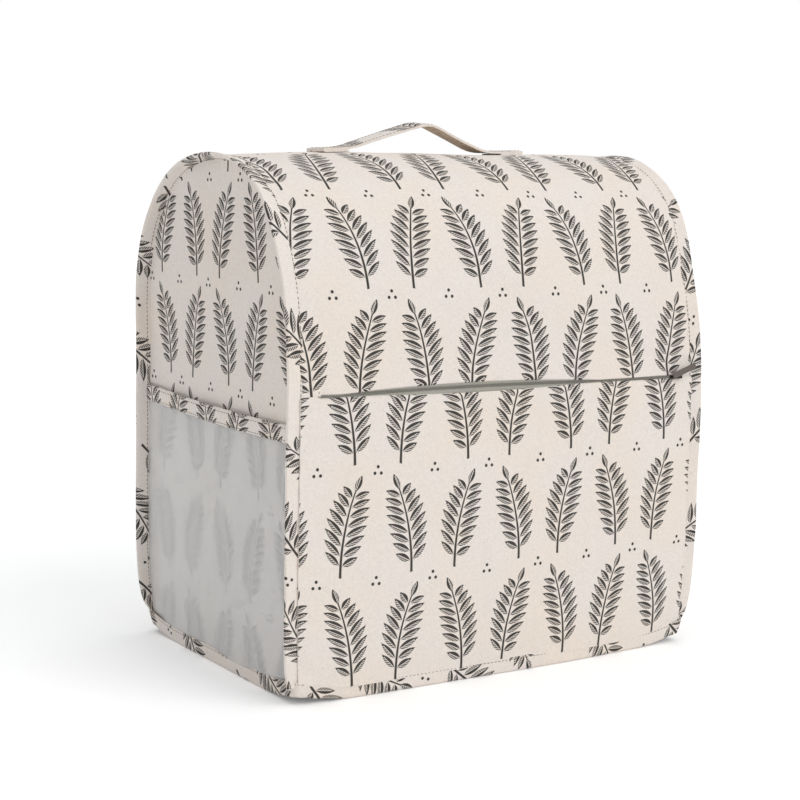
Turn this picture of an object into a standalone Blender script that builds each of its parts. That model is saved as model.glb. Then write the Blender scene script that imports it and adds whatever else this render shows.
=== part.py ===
"""Fitted cloth cover for a stand mixer, standing open on its hem.

One long panel runs up the front, over the arched top and down the back. Two arched end
panels close the sides. Bound seams stand out round both ends, a binding finishes the hem,
a zipped pocket covers the lower front, a frosted pocket the lower left end, and a carrying
strap is sewn along the top. X is to the right, Y away from the viewer, Z up, and the
origin is the middle of the floor under the cover.
"""

import math

import bmesh
import bpy
import numpy as np

COLLECTION = "stand_mixer_cover"

# Overall size in metres, over the standing seams and without the strap's rise
WIDTH = 0.358
DEPTH = 0.231
HEIGHT = 0.361

# Arched outline of the ends
SPRING = 0.235
ARCH_POWER = 2.26
ARCH_STEPS = 24
WALL_STEPS = (0.0, 0.003, 0.008, 0.015, 0.026, 0.050, 0.085, 0.120, 0.155, 0.190)

# Cloth and the clearance between sewn pieces
CLOTH = 0.0018
GAP = 0.0004
HALF_DEPTH = DEPTH / 2

# Standing seams: the ends are set in by SEAM_WIDTH, and the long panel by SEAM_RISE
SEAM_WIDTH = 0.0100
SEAM_RISE = 0.0025
SEAM_THICK = 0.0030
SEAM_LEAN = 0.0009
SEAM_FOOT = 0.026
SEAM_FOOT_WIDTH = 0.0010

# Hem binding and how the cloth behaves above it
HEM_TALL = 0.0110
HEM_THICK = 0.0040
HEM_CORNER = 0.008
HEM_EAR = 0.004
CORNER_LIFT = 0.008
LIFT_REACH = 0.045
DRAW_IN = 0.0030
DRAW_HEIGHT = 0.090

# Fullness of the panels between their seams
WALL_FULL = 0.0035
TOP_FULL = 0.0030
END_SAG = 0.0012

# Front pocket and its zip
POCKET_TOP = 0.2035
POCKET_DIP = 0.0034
POCKET_DIP_CENTRE = -0.045
POCKET_DIP_REACH = 0.110
POCKET_CLOTH = 0.0016
POCKET_FULL = 0.0012
ZIP_TAPE_THICK = 0.0008
ZIP_TAPE_LEAST = 0.0024
ZIP_TAPE_MOST = 0.0046
ZIP_COIL_RADIUS = 0.0009
SLIDER_X = 0.146
SLIDER_SIZE = (0.0090, 0.0030, 0.0060)
PULL_SIZE = (0.0240, 0.0010, 0.0050)
PULL_TURN = math.radians(18.0)

# Frosted pocket on the left end
FILM = 0.0010
FILM_FULL = 0.0015
FILM_BAND_EDGE = 0.1760
FILM_BAND_DIP = 0.0040
FILM_BAND_TALL = 0.0115
FILM_BAND_THICK = 0.0026

# Carrying strap
STRAP_WIDE = 0.027
STRAP_THICK = 0.0024
STRAP_SMOOTH = 0.008
STRAP_KNOTS_X = (-0.102, -0.071, -0.003, 0.048, 0.088)
STRAP_KNOTS_RISE = (0.0, 0.0, 0.0215, 0.0, 0.0)
STRAP_FOLD = 0.028

SIDE_FACE = WIDTH / 2 - SEAM_WIDTH
PANEL_HALF = SIDE_FACE - CLOTH - GAP
HEM_LINE = HEM_TALL + GAP
HEM_HALF_X = SIDE_FACE - CLOTH / 2 - DRAW_IN
HEM_HALF_Y = HALF_DEPTH - SEAM_RISE - CLOTH / 2 - DRAW_IN


def half_arch(inset):
    """Return the (depth, height) points of the front half of the arch, spring to crown."""
    across = HALF_DEPTH - inset
    tall = HEIGHT - inset - SPRING
    points = []
    for step in range(1, ARCH_STEPS // 2 + 1):
        turn = math.pi * step / ARCH_STEPS
        depth = -across * max(math.cos(turn), 0.0) ** (2 / ARCH_POWER)
        points.append((depth, SPRING + tall * math.sin(turn) ** (2 / ARCH_POWER)))
    return points


def draw_in(height):
    """Return how far a wall is drawn in at this height by the hem."""
    share = max(0.0, 1.0 - height / DRAW_HEIGHT)
    return DRAW_IN * share * share


def half_outline(inset):
    """Return the front half of the outline from hem line to crown."""
    wall = []
    for rise in WALL_STEPS:
        height = HEM_LINE + rise
        wall.append((-(HALF_DEPTH - inset) + draw_in(height), height))
    wall.append((-(HALF_DEPTH - inset), SPRING))
    return wall + half_arch(inset)


def full_outline(inset):
    """Return the whole outline, from the front hem line over the crown to the back."""
    front = half_outline(inset)
    back = [(-depth, height) for depth, height in reversed(front[:-1])]
    return front + back


def outward(outline, row):
    """Return the outward unit normal of the outline at one of its points."""
    before = outline[max(row - 1, 0)]
    after = outline[min(row + 1, len(outline) - 1)]
    along = (after[0] - before[0], after[1] - before[1])
    length = math.hypot(*along)
    return -along[1] / length, along[0] / length


def spread(step, steps):
    """Return a place from -1 to 1 across a panel, with the steps finer at both ends."""
    return math.sin(math.pi / 2 * (2.0 * step / steps - 1.0))


def corner_lift(distance):
    """Return how far the hem rises above the floor at this distance from a corner."""
    share = min(1.0, max(0.0, 1.0 - distance / LIFT_REACH))
    return CORNER_LIFT * share * share


def lifted(height, distance):
    """Return a height near the hem, raised with the corner that is this far away."""
    share = max(0.0, 1.0 - (height - HEM_LINE) / DRAW_HEIGHT)
    return height + corner_lift(distance) * share


def fullness(across, depth, height):
    """Return how far the long panel stands out of its seams' line.

    across runs from -1 to 1 between the seams.
    """
    bow = 1.0 - across * across
    top = max(0.0, (height - SPRING) / (HEIGHT - SPRING)) ** 2
    foot = max(0.0, 1.0 - height / SPRING)
    wall = WALL_FULL * (0.35 + 0.65 * foot)
    ripple = 0.0006 * math.sin(5.2 * across + 9.0 * height / HEIGHT + (1.3 if depth > 0 else 0.0))
    return bow * (wall + (TOP_FULL - wall) * top + ripple)


def panel_point(across, row, outline):
    """Return a point of the long panel's middle surface."""
    depth, height = outline[row]
    out_y, out_z = outward(outline, row)
    reach = fullness(across, depth, height)
    x = across * (PANEL_HALF - draw_in(height))
    rise = out_z * reach if height > SPRING else 0.0
    return x, depth + out_y * reach, lifted(height, HEM_HALF_X - abs(x)) + rise


def front_point(across, height, proud):
    """Return a point in front of the front wall at any height below the spring."""
    middle = HALF_DEPTH - SEAM_RISE - CLOTH / 2
    depth = -middle + draw_in(height)
    reach = fullness(across, depth, height) + proud
    x = across * (PANEL_HALF - GAP - draw_in(height))
    return x, depth - reach, lifted(height, HEM_HALF_X - abs(x))


def pocket_edge(across):
    """Return the height of the pocket's top edge, which dips where the zip shows most."""
    place = (across * PANEL_HALF - POCKET_DIP_CENTRE) / POCKET_DIP_REACH
    return POCKET_TOP - POCKET_DIP * max(0.0, 1.0 - place * place)


def crown_height(x):
    """Return the height of the long panel's outer face on the crown."""
    across = x / PANEL_HALF
    return HEIGHT - SEAM_RISE + fullness(across, 0.0, HEIGHT - SEAM_RISE - CLOTH / 2)


def material(name, colour, roughness, metallic=0.0, alpha=1.0):
    """Return a plain surface finish."""
    finish = bpy.data.materials.new(name)
    finish.use_nodes = True
    shader = finish.node_tree.nodes["Principled BSDF"]
    shader.inputs["Base Color"].default_value = (*colour, 1.0)
    shader.inputs["Roughness"].default_value = roughness
    shader.inputs["Metallic"].default_value = metallic
    shader.inputs["Alpha"].default_value = alpha
    return finish


def add_object(name, mesh, finish, collection):
    """Link a mesh as a named sub-part and return its object."""
    part = bpy.data.objects.new(name, mesh)
    part.data.materials.append(finish)
    collection.objects.link(part)
    return part


def sheet(name, columns, rows, place, thickness, finish, collection, closed=False):
    """Make a cloth sheet: a grid laid out by place(column, row), given its thickness."""
    grid = bmesh.new()
    bmesh.ops.create_grid(grid, x_segments=columns, y_segments=rows, size=1.0)
    for vert in grid.verts:
        column = round((vert.co.x + 1.0) / 2.0 * columns)
        row = round((vert.co.y + 1.0) / 2.0 * rows)
        vert.co = place(column, row)
    if closed:
        bmesh.ops.remove_doubles(grid, verts=grid.verts, dist=0.00001)
    mesh = bpy.data.meshes.new(name)
    grid.to_mesh(mesh)
    grid.free()
    part = add_object(name, mesh, finish, collection)
    body = part.modifiers.new("cloth thickness", "SOLIDIFY")
    body.thickness = thickness
    body.offset = 0.0
    body.use_even_offset = True
    mesh.shade_smooth()
    mesh.set_sharp_from_angle(angle=math.radians(40.0))
    return part


def main_panel(finish, collection):
    """Make the long panel: front, arched top and back in one length."""
    columns = 16
    outline = full_outline(SEAM_RISE + CLOTH / 2)

    def place(column, row):
        return panel_point(spread(column, columns), row, outline)

    sheet("main_panel", columns, len(outline) - 1, place, CLOTH, finish, collection)


def end_panel(name, side, finish, collection):
    """Make one arched end panel; side is -1 for the left end and 1 for the right."""
    columns = 10
    outline = half_outline(SEAM_RISE)[:-1]

    def place(column, row):
        depth, height = outline[row]
        across = spread(column, columns)
        sag = END_SAG * (1.0 - across * across) * math.sin(math.pi * height / HEIGHT)
        x = side * (SIDE_FACE - CLOTH / 2 - draw_in(height) - sag)
        y = -depth * across
        return x, y, lifted(height, HEM_HALF_Y - abs(y))

    sheet(name, columns, len(outline) - 1, place, CLOTH, finish, collection)


def seam_binding(name, side, finish, collection):
    """Make the bound seam that stands out round one end, rounded off at both feet."""
    columns = 2
    inner = full_outline(SEAM_RISE + SEAM_THICK / 2)
    outer = full_outline(SEAM_THICK / 2)
    start = SIDE_FACE + SEAM_LEAN

    def place(column, row):
        share = column / columns
        height = inner[row][1]
        foot = min(1.0, (height - HEM_LINE) / SEAM_FOOT)
        full = WIDTH / 2 - SEAM_LEAN / 2 - start
        width = SEAM_FOOT_WIDTH + (full - SEAM_FOOT_WIDTH) * math.sqrt(foot * (2.0 - foot))
        reach = share * width / full
        depth = inner[row][0] + (outer[row][0] - inner[row][0]) * reach
        rise = inner[row][1] + (outer[row][1] - inner[row][1]) * reach
        x = side * (start + share * width - draw_in(height))
        return x, depth, lifted(rise, 0.0)

    sheet(name, columns, len(inner) - 1, place, SEAM_THICK, finish, collection)


def hem_stations():
    """Return the hem's plan points with each one's distance from the nearest corner.

    A station is (heading of its side, place along it, distance out from the middle, distance
    from the corner). The corners stand out a little, over the ends of the seams.
    """
    side_steps = 16
    corner_steps = 4
    stations = []
    for turn in range(4):
        heading = math.pi / 2 * turn
        reach, run = (HEM_HALF_Y, HEM_HALF_X) if turn % 2 == 0 else (HEM_HALF_X, HEM_HALF_Y)
        straight = run - HEM_CORNER
        for step in range(side_steps):
            across = spread(step, side_steps)
            bow = fullness(across, turn - 1.0, HEM_TALL) if turn % 2 == 0 else 0.0
            along = straight * across
            stations.append((heading, along, reach + bow, run - abs(along)))
        for step in range(corner_steps):
            angle = math.pi / 2 * step / corner_steps
            along = straight + HEM_CORNER * math.sin(angle)
            level = reach - HEM_CORNER * (1.0 - math.cos(angle))
            ear = HEM_EAR * math.sin(2.0 * angle) * math.sqrt(0.5)
            distance = HEM_CORNER * (1.0 - min(math.sin(angle), math.cos(angle)))
            stations.append((heading, along + ear, level + ear, distance))
    return stations


def hem_binding(finish, collection):
    """Make the binding round the hem: flat on the floor, lifting a little at the corners."""
    stations = hem_stations()

    def place(column, row):
        heading, along, level, distance = stations[column % len(stations)]
        x = along * math.cos(heading) + level * math.sin(heading)
        y = along * math.sin(heading) - level * math.cos(heading)
        return x, y, corner_lift(distance) + row * HEM_TALL

    sheet("hem_binding", len(stations), 1, place, HEM_THICK, finish, collection, closed=True)


def front_pocket(finish, collection):
    """Make the pocket panel that covers the lower front."""
    columns = 16
    rows = 8
    proud = CLOTH / 2 + GAP + POCKET_CLOTH / 2

    def place(column, row):
        across = spread(column, columns)
        share = row / rows
        height = HEM_LINE + (pocket_edge(across) - HEM_LINE) * share
        slack = POCKET_FULL * (1.0 - across ** 4) * math.sin(math.pi * (0.1 + 0.8 * share))
        return front_point(across, height, proud + slack)

    sheet("front_pocket", columns, rows, place, POCKET_CLOTH, finish, collection)


def zip_tape(finish, collection):
    """Make the zip's tape, from the pocket's edge to a little above the teeth."""
    columns = 20
    proud = CLOTH / 2 + GAP + ZIP_TAPE_THICK / 2

    def place(column, row):
        across = 2.0 * column / columns - 1.0
        above = ZIP_TAPE_LEAST + (ZIP_TAPE_MOST - ZIP_TAPE_LEAST) * (1.0 - across * across)
        height = POCKET_TOP + above if row else pocket_edge(across) + GAP
        return front_point(across, height, proud)

    sheet("zip_tape", columns, 1, place, ZIP_TAPE_THICK, finish, collection)


def zip_coil(finish, collection):
    """Make the closed row of zip teeth as one cord, up to the slider at the right."""
    steps = 24
    proud = CLOTH / 2 + GAP * 2 + ZIP_TAPE_THICK + ZIP_COIL_RADIUS
    last = (SLIDER_X - SLIDER_SIZE[0] / 2 - GAP) / PANEL_HALF
    height = POCKET_TOP + GAP + ZIP_COIL_RADIUS
    curve = bpy.data.curves.new("zip_coil", "CURVE")
    curve.dimensions = "3D"
    curve.bevel_depth = ZIP_COIL_RADIUS
    curve.bevel_resolution = 2
    curve.use_fill_caps = True
    curve.materials.append(finish)
    route = curve.splines.new("POLY")
    route.points.add(steps)
    for step, point in enumerate(route.points):
        across = -0.985 + (last + 0.985) * step / steps
        point.co = (*front_point(across, height, proud), 1.0)
    part = bpy.data.objects.new("zip_coil", curve)
    collection.objects.link(part)


def rounded_block(name, size, place, turn, rounding, finish, collection):
    """Make a small block with rounded edges, turned about Y."""
    block = bmesh.new()
    bmesh.ops.create_cube(block, size=1.0)
    bmesh.ops.scale(block, vec=size, verts=block.verts)
    mesh = bpy.data.meshes.new(name)
    block.to_mesh(mesh)
    block.free()
    part = add_object(name, mesh, finish, collection)
    part.location = place
    part.rotation_euler = (0.0, turn, 0.0)
    edges = part.modifiers.new("rounded edges", "BEVEL")
    edges.width = rounding
    edges.segments = 2
    return part


def zip_slider(finish, collection):
    """Make the slider's body, which closes the zip near the right seam."""
    across = SLIDER_X / PANEL_HALF
    proud = CLOTH / 2 + GAP * 2 + ZIP_TAPE_THICK + SLIDER_SIZE[1] / 2
    height = POCKET_TOP + GAP * 2 + SLIDER_SIZE[2] / 2
    place = front_point(across, height, proud)
    rounded_block("zip_slider", SLIDER_SIZE, place, 0.0, 0.0008, finish, collection)
    return place


def zip_pull(slider, finish, collection):
    """Make the flat pull tab, lying on the slider and pointing up to the right."""
    forward = SLIDER_SIZE[1] / 2 + GAP + PULL_SIZE[1] / 2
    reach = PULL_SIZE[0] / 2 - SLIDER_SIZE[0] / 4
    place = (slider[0] + reach * math.cos(PULL_TURN),
             slider[1] - forward,
             slider[2] + reach * math.sin(PULL_TURN))
    rounded_block("zip_pull", PULL_SIZE, place, -PULL_TURN, 0.0004, finish, collection)


def film_half(height):
    """Return half the width of the frosted pocket between the standing seams."""
    return HALF_DEPTH - SEAM_RISE - SEAM_THICK - 2 * GAP - draw_in(height)


def film_reach(share, height):
    """Return how far the frosted pocket stands out of the left end's face."""
    slack = FILM_FULL * (1.0 - share * share) * math.sin(math.pi * min(1.0, height / 0.2))
    return SIDE_FACE + GAP + FILM_BAND_THICK / 2 + slack - draw_in(height)


def band_height(share):
    """Return the height of the frosted pocket's band, dipping in the middle."""
    return FILM_BAND_EDGE - FILM_BAND_DIP * (1.0 - share * share)


def side_pocket(finish, collection):
    """Make the frosted pocket sheet on the left end."""
    columns = 10
    rows = 8

    def place(column, row):
        share = spread(column, columns)
        top = band_height(share) - GAP
        height = HEM_LINE + (top - HEM_LINE) * row / rows
        half = film_half(height)
        raised = lifted(height, HEM_HALF_Y - abs(share * half))
        return -film_reach(share, height), share * half, raised

    sheet("side_pocket", columns, rows, place, FILM, finish, collection)


def side_pocket_binding(finish, collection):
    """Make the printed band along the frosted pocket's top edge."""
    columns = 12

    def place(column, row):
        share = 2.0 * column / columns - 1.0
        height = band_height(share) + row * FILM_BAND_TALL
        return -film_reach(share, height), share * film_half(height), height

    sheet("side_pocket_binding", columns, 1, place, FILM_BAND_THICK, finish, collection)


def strap_route():
    """Return the strap's (x, height) points: folded end, tent and folded end."""
    stations = np.linspace(STRAP_KNOTS_X[0], STRAP_KNOTS_X[-1], 39)
    window = np.linspace(-STRAP_SMOOTH, STRAP_SMOOTH, 9)
    layer = STRAP_THICK + GAP
    fold_radius = layer / 2
    upper = []
    for x in stations:
        rise = float(np.mean(np.interp(x + window, STRAP_KNOTS_X, STRAP_KNOTS_RISE)))
        upper.append((float(x), crown_height(x) + GAP + STRAP_THICK / 2 + layer + rise))
    ends = []
    for side, (x, level) in ((-1, upper[0]), (1, upper[-1])):
        turn = []
        for step in range(1, 5):
            angle = math.pi * step / 5
            turn.append((x + side * fold_radius * math.sin(angle),
                         level - fold_radius * (1.0 - math.cos(angle))))
        under = [x, x - side * STRAP_FOLD / 2, x - side * STRAP_FOLD]
        turn += [(at, crown_height(at) + GAP + STRAP_THICK / 2) for at in under]
        ends.append(turn)
    return ends[0][::-1] + upper + ends[1]


def handle(finish, collection):
    """Make the carrying strap: both ends turned under and sewn flat, raised between."""
    columns = 2
    route = strap_route()

    def place(column, row):
        x, height = route[row]
        return x, (column / columns - 0.5) * STRAP_WIDE, height

    sheet("handle", columns, len(route) - 1, place, STRAP_THICK, finish, collection)


def build():
    """Build the whole cover."""
    for existing in list(bpy.data.objects):
        bpy.data.objects.remove(existing, do_unlink=True)
    collection = bpy.data.collections.new(COLLECTION)
    bpy.context.scene.collection.children.link(collection)

    canvas = material("printed_canvas", (0.80, 0.73, 0.65), 0.90)
    end_canvas = material("printed_canvas_ends", (0.76, 0.70, 0.65), 0.90)
    binding = material("printed_binding", (0.80, 0.72, 0.63), 0.88)
    frosted = material("frosted_film", (0.78, 0.77, 0.77), 0.45, alpha=0.6)
    tape = material("zip_tape_weave", (0.42, 0.43, 0.38), 0.85)
    coil = material("zip_teeth", (0.25, 0.26, 0.23), 0.50)
    metal = material("zip_metal", (0.16, 0.15, 0.14), 0.45, metallic=0.8)
    pull = material("zip_pull_tab", (0.30, 0.27, 0.26), 0.60)

    main_panel(canvas, collection)
    end_panel("side_panel_left", -1, end_canvas, collection)
    end_panel("side_panel_right", 1, end_canvas, collection)
    seam_binding("seam_binding_left", -1, binding, collection)
    seam_binding("seam_binding_right", 1, binding, collection)
    hem_binding(binding, collection)
    front_pocket(canvas, collection)
    zip_tape(tape, collection)
    zip_coil(coil, collection)
    slider = zip_slider(metal, collection)
    zip_pull(slider, pull, collection)
    side_pocket(frosted, collection)
    side_pocket_binding(binding, collection)
    handle(canvas, collection)


build()
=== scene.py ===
"""Looks of a fitted stand mixer cover: printed canvas, bound seams and a zipped front pocket.

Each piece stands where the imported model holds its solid. Sizes are metres, with X to the
right, Y away from the viewer and Z up.
"""

import logging
import math
from dataclasses import dataclass, field
from enum import Enum
from typing import Any, Callable

import bpy
import numpy as np
from mathutils import Matrix, Vector, noise


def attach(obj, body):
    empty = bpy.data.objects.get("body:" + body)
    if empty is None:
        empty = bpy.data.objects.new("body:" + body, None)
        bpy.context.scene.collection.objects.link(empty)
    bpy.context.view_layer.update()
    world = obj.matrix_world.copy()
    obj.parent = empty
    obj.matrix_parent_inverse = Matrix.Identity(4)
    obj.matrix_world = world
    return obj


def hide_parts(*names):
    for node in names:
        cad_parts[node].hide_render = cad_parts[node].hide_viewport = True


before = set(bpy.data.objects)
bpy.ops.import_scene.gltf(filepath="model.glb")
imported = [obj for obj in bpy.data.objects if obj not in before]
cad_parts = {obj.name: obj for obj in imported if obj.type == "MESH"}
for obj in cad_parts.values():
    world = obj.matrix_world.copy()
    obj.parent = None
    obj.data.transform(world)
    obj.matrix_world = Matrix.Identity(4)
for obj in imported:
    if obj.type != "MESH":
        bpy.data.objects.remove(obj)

LOG = logging.getLogger("stand_mixer_cover")
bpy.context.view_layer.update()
MM = 0.001
TAPE_THICK = 0.0007
ROOT = "root"

Place = Callable[[float, float], Vector]


class Facing(Enum):
    """Which way the print's upright runs on a piece."""

    UPRIGHT = 0.0
    SIDEWAYS = math.pi / 2
    BIAS = math.pi / 4


class Slot(Enum):
    """The record's material slots."""

    CANVAS = "printed_canvas"
    BINDING = "printed_binding"
    FILM = "frosted_film"
    TAPE = "zip_tape"
    TEETH = "zip_teeth"
    METAL = "zip_metal"
    PULL = "zip_pull"


def ripple(point: Vector, size: float, seed: float = 0.0) -> float:
    """Return a smooth value from -1 to 1 that changes over about `size` metres."""
    return noise.noise(Vector((point.x / size + seed, point.y / size - seed, point.z / size)))


def bell(distance: float, reach: float) -> float:
    """Return 1 at no distance, fading smoothly to nothing past `reach`."""
    return math.exp(-((distance / reach) ** 2))


def held(share: float) -> float:
    """Return a share held between 0 and 1."""
    return min(1.0, max(0.0, share))


def eased(shares: np.ndarray) -> np.ndarray:
    """Return shares held between 0 and 1, with soft ends."""
    kept = np.clip(shares, 0.0, 1.0)
    return kept * kept * (3.0 - 2.0 * kept)


@dataclass
class Track:
    """A line through rows of numbers, of which the first two are the place in a plane."""

    rows: np.ndarray
    step: float = 0.004
    run: np.ndarray = field(init=False)

    def __post_init__(self) -> None:
        """Work out the running length at each row."""
        steps = np.hypot(np.diff(self.rows[:, 0]), np.diff(self.rows[:, 1]))
        self.run = np.concatenate([[0.0], np.cumsum(steps)])

    @property
    def length(self) -> float:
        """Return the whole length."""
        return float(self.run[-1])

    def at(self, share: float) -> list[float]:
        """Return the row at this share of the length."""
        return [float(np.interp(share * self.length, self.run, column)) for column in self.rows.T]

    def along(self, share: float) -> tuple[float, float]:
        """Return the line's direction at this share of the length, not a unit one."""
        before = self.at(max(0.0, share - self.step))
        after = self.at(min(1.0, share + self.step))
        return after[0] - before[0], after[1] - before[1]

    def outward(self, share: float) -> Vector:
        """Return the outward unit normal of a line of (depth, height) round the arch."""
        depth, height = self.along(share)
        return Vector((0.0, -height, depth)).normalized()


@dataclass(frozen=True)
class Swells:
    """The small uneven swells of sewn cloth: how high, how long, and shifted how far."""

    high: float
    long: float
    shift: float = 0.0

    def at(self, point: Vector) -> float:
        """Return how far the cloth is off its even form here."""
        return self.high * ripple(point, self.long, self.shift)


@dataclass(frozen=True)
class Crease:
    """A soft ridge, or trough where it is negative, in the cloth of the front."""

    x: float
    z: float
    proud: float
    lean: tuple[float, float]
    wide: float
    long: float

    def at(self, point: Vector) -> float:
        """Return how far the cloth stands out here."""
        along = point.x - self.x
        across = along * self.lean[0] + (point.z - self.z) * self.lean[1]
        return self.proud * bell(across, self.wide) * bell(along, self.long)


@dataclass(frozen=True)
class CoverForm:
    """Sizes of the standing cover and the surfaces that follow from them."""

    width: float = 0.358
    depth: float = 0.231
    height: float = 0.361
    spring: float = 0.235
    arch_power: float = 2.26
    cloth: float = 0.0018
    gap: float = 0.0004
    seam_width: float = 0.0100
    seam_rise: float = 0.0025
    seam_thick: float = 0.0030
    seam_lean: float = 0.0009
    hem_tall: float = 0.0110
    hem_corner: float = 0.008
    hem_ear: float = 0.004
    corner_rise: float = 0.0065
    lift_reach: float = 0.045
    draw: float = 0.0030
    draw_height: float = 0.090
    wall_full: float = 0.0035
    wall_share: float = 0.35
    wave_high: float = 0.0006
    top_full: float = 0.0060
    end_sag: float = 0.0012
    pocket_top: float = 0.2035
    pocket_dip: float = 0.0026
    dip_centre: float = -0.032
    dip_reach: float = 0.108
    band_edge: float = 0.1760
    band_dip: float = 0.0018
    band_slant: float = 0.0024
    band_tall: float = 0.0115
    right_rise: float = 0.0080
    shoulder_in: float = 0.0032
    shoulder_drop: float = 0.60
    shoulder_share: float = 0.055
    shoulder_level: float = 0.284
    shoulder_reach: float = 0.050
    left_lean: float = 0.0048
    lean_level: float = 0.298
    lean_reach: float = 0.055
    settle_from: float = 0.02
    rise_from: tuple[float, float] = (0.01, 0.20)
    rise_over: tuple[float, float] = (0.165, 0.15)
    lip_rise: float = 0.0021
    lip_least: float = 0.25
    lip_reach: float = 0.050
    lip_arch: float = 0.0034
    tuck: float = 0.005
    pucker_high: float = 0.00035
    pucker_wide: float = 0.014
    pucker_long: float = 0.0034
    quiet_edge: float = 0.020
    swells: tuple[Swells, ...] = (Swells(0.0011, 0.075, 3.0), Swells(0.0004, 0.030, 9.0))
    creases: tuple[Crease, ...] = (
        Crease(x=0.139, z=0.2155, proud=-0.0022, lean=(0.0, 1.5), wide=0.013, long=0.013),
        Crease(x=-0.020, z=0.2750, proud=-0.0011, lean=(0.45, 0.90), wide=0.008, long=0.050),
        Crease(x=0.075, z=0.2620, proud=0.0010, lean=(-0.35, 0.94), wide=0.010, long=0.060),
        Crease(x=-0.100, z=0.1200, proud=0.0012, lean=(0.0, 1.0), wide=0.060, long=0.035),
    )

    @property
    def half_depth(self) -> float:
        """Return half the depth over the standing seams."""
        return self.depth / 2

    @property
    def side_face(self) -> float:
        """Return how far out the end panels' faces stand."""
        return self.width / 2 - self.seam_width

    @property
    def panel_half(self) -> float:
        """Return half the long panel's width between the end panels."""
        return self.side_face - self.cloth - self.gap

    @property
    def hem_line(self) -> float:
        """Return the height at which the panels leave the hem binding."""
        return self.hem_tall + self.gap

    @property
    def pocket_foot(self) -> float:
        """Return the height of the pockets' lower edges, inside the hem binding."""
        return self.hem_line - 0.003

    @property
    def hem_half(self) -> tuple[float, float]:
        """Return the hem's half sizes along X and Y."""
        return (self.side_face - self.cloth / 2 - self.draw,
                self.half_depth - self.seam_rise - self.cloth / 2 - self.draw)

    def draw_in(self, height: float) -> float:
        """Return how far a wall is drawn in at this height by the hem."""
        share = max(0.0, 1.0 - height / self.draw_height)
        return self.draw * share * share

    def corner_lift(self, distance: float) -> float:
        """Return how far the hem rises at this distance from a corner."""
        return self.corner_rise * held(1.0 - distance / self.lift_reach) ** 2

    def lifted(self, height: float, distance: float) -> float:
        """Return a height near the hem, raised with the corner that is this far away."""
        share = held(1.0 - (height - self.hem_line) / self.draw_height)
        return height + self.corner_lift(distance) * share

    def outline(self, inset: float) -> Track:
        """Return the arch's outline, set in from the outermost line.

        Args:
            inset: Distance inside the standing seams' outer line.

        Returns:
            The outline's (depth, height), from the front hem over the crown to the back hem.
        """
        reach = self.half_depth - inset
        wall = np.linspace(self.hem_line - self.tuck, self.spring, 60)[:-1]
        turn = np.linspace(0.0, math.pi, 241)
        across = np.abs(np.cos(turn)) ** (2 / self.arch_power) * np.sign(np.cos(turn))
        rise = np.abs(np.sin(turn)) ** (2 / self.arch_power)
        drawn = np.array([self.draw_in(height) for height in wall])
        depth = np.concatenate([-reach + drawn, -reach * across, (reach - drawn)[::-1]])
        tall = self.height - inset - self.spring
        height = np.concatenate([wall, self.spring + tall * rise, wall[::-1]])
        return Track(np.column_stack((depth, height)))

    def fullness(self, across: float, depth: float, height: float) -> float:
        """Return how far the long panel stands out of its seams' line."""
        bow = max(0.0, 1.0 - across * across)
        top = max(0.0, (height - self.spring) / (self.height - self.spring)) ** 2
        foot = max(0.0, 1.0 - height / self.spring)
        wall = self.wall_full * (self.wall_share + (1.0 - self.wall_share) * foot)
        phase = 1.3 if depth > 0 else 0.0
        wave = self.wave_high * math.sin(5.2 * across + 9.0 * height / self.height + phase)
        return bow * (wall + (self.top_full - wall) * top + wave)

    def unevenness(self, point: Vector, run: float) -> float:
        """Return how far the standing cloth of the long panel is off its form.

        Args:
            point: A point of the panel.
            run: Its distance from the front hem, along the cloth.

        Returns:
            The distance outwards.
        """
        edge = self.panel_half - abs(point.x)
        turn = run / self.pucker_long + 5.0 * ripple(point, 0.05)
        pucker = self.pucker_high * bell(edge, self.pucker_wide) * math.sin(turn)
        swell = sum(swells.at(point) for swells in self.swells)
        creased = sum(crease.at(point) for crease in self.creases) if point.y < 0.0 else 0.0
        return pucker + (swell + creased) * held(edge / self.quiet_edge)

    def front_point(self, x: float, height: float, proud: float) -> Vector:
        """Return a point in front of the front wall's middle surface.

        Args:
            x: Place across the cover.
            height: Height below the spring of the arch.
            proud: Distance in front of the wall's middle surface.

        Returns:
            The point.
        """
        depth = -(self.half_depth - self.seam_rise - self.cloth / 2) + self.draw_in(height)
        point = Vector((x, depth, self.lifted(height, self.hem_half[0] - abs(x))))
        reach = self.fullness(x / self.panel_half, depth, height) + proud
        point.y -= reach + self.unevenness(point, height - self.hem_line + self.tuck)
        return point

    def gape(self, x: float) -> float:
        """Return how far the zip's two sides gape here, from 0 to 1."""
        place = (x - self.dip_centre) / self.dip_reach
        return max(0.0, 1.0 - place * place)

    def pocket_edge(self, x: float) -> float:
        """Return the height of the pocket's top edge, which dips where the zip shows most."""
        return self.pocket_top - self.pocket_dip * self.gape(x)

    def lip_edge(self, x: float) -> float:
        """Return the height of the long panel's turned edge over the zip."""
        closing = held((x + self.panel_half) / self.lip_reach)
        rise = (self.lip_least + (1.0 - self.lip_least) * closing) * self.lip_rise
        return self.pocket_top + rise + self.lip_arch * self.gape(x)

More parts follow.
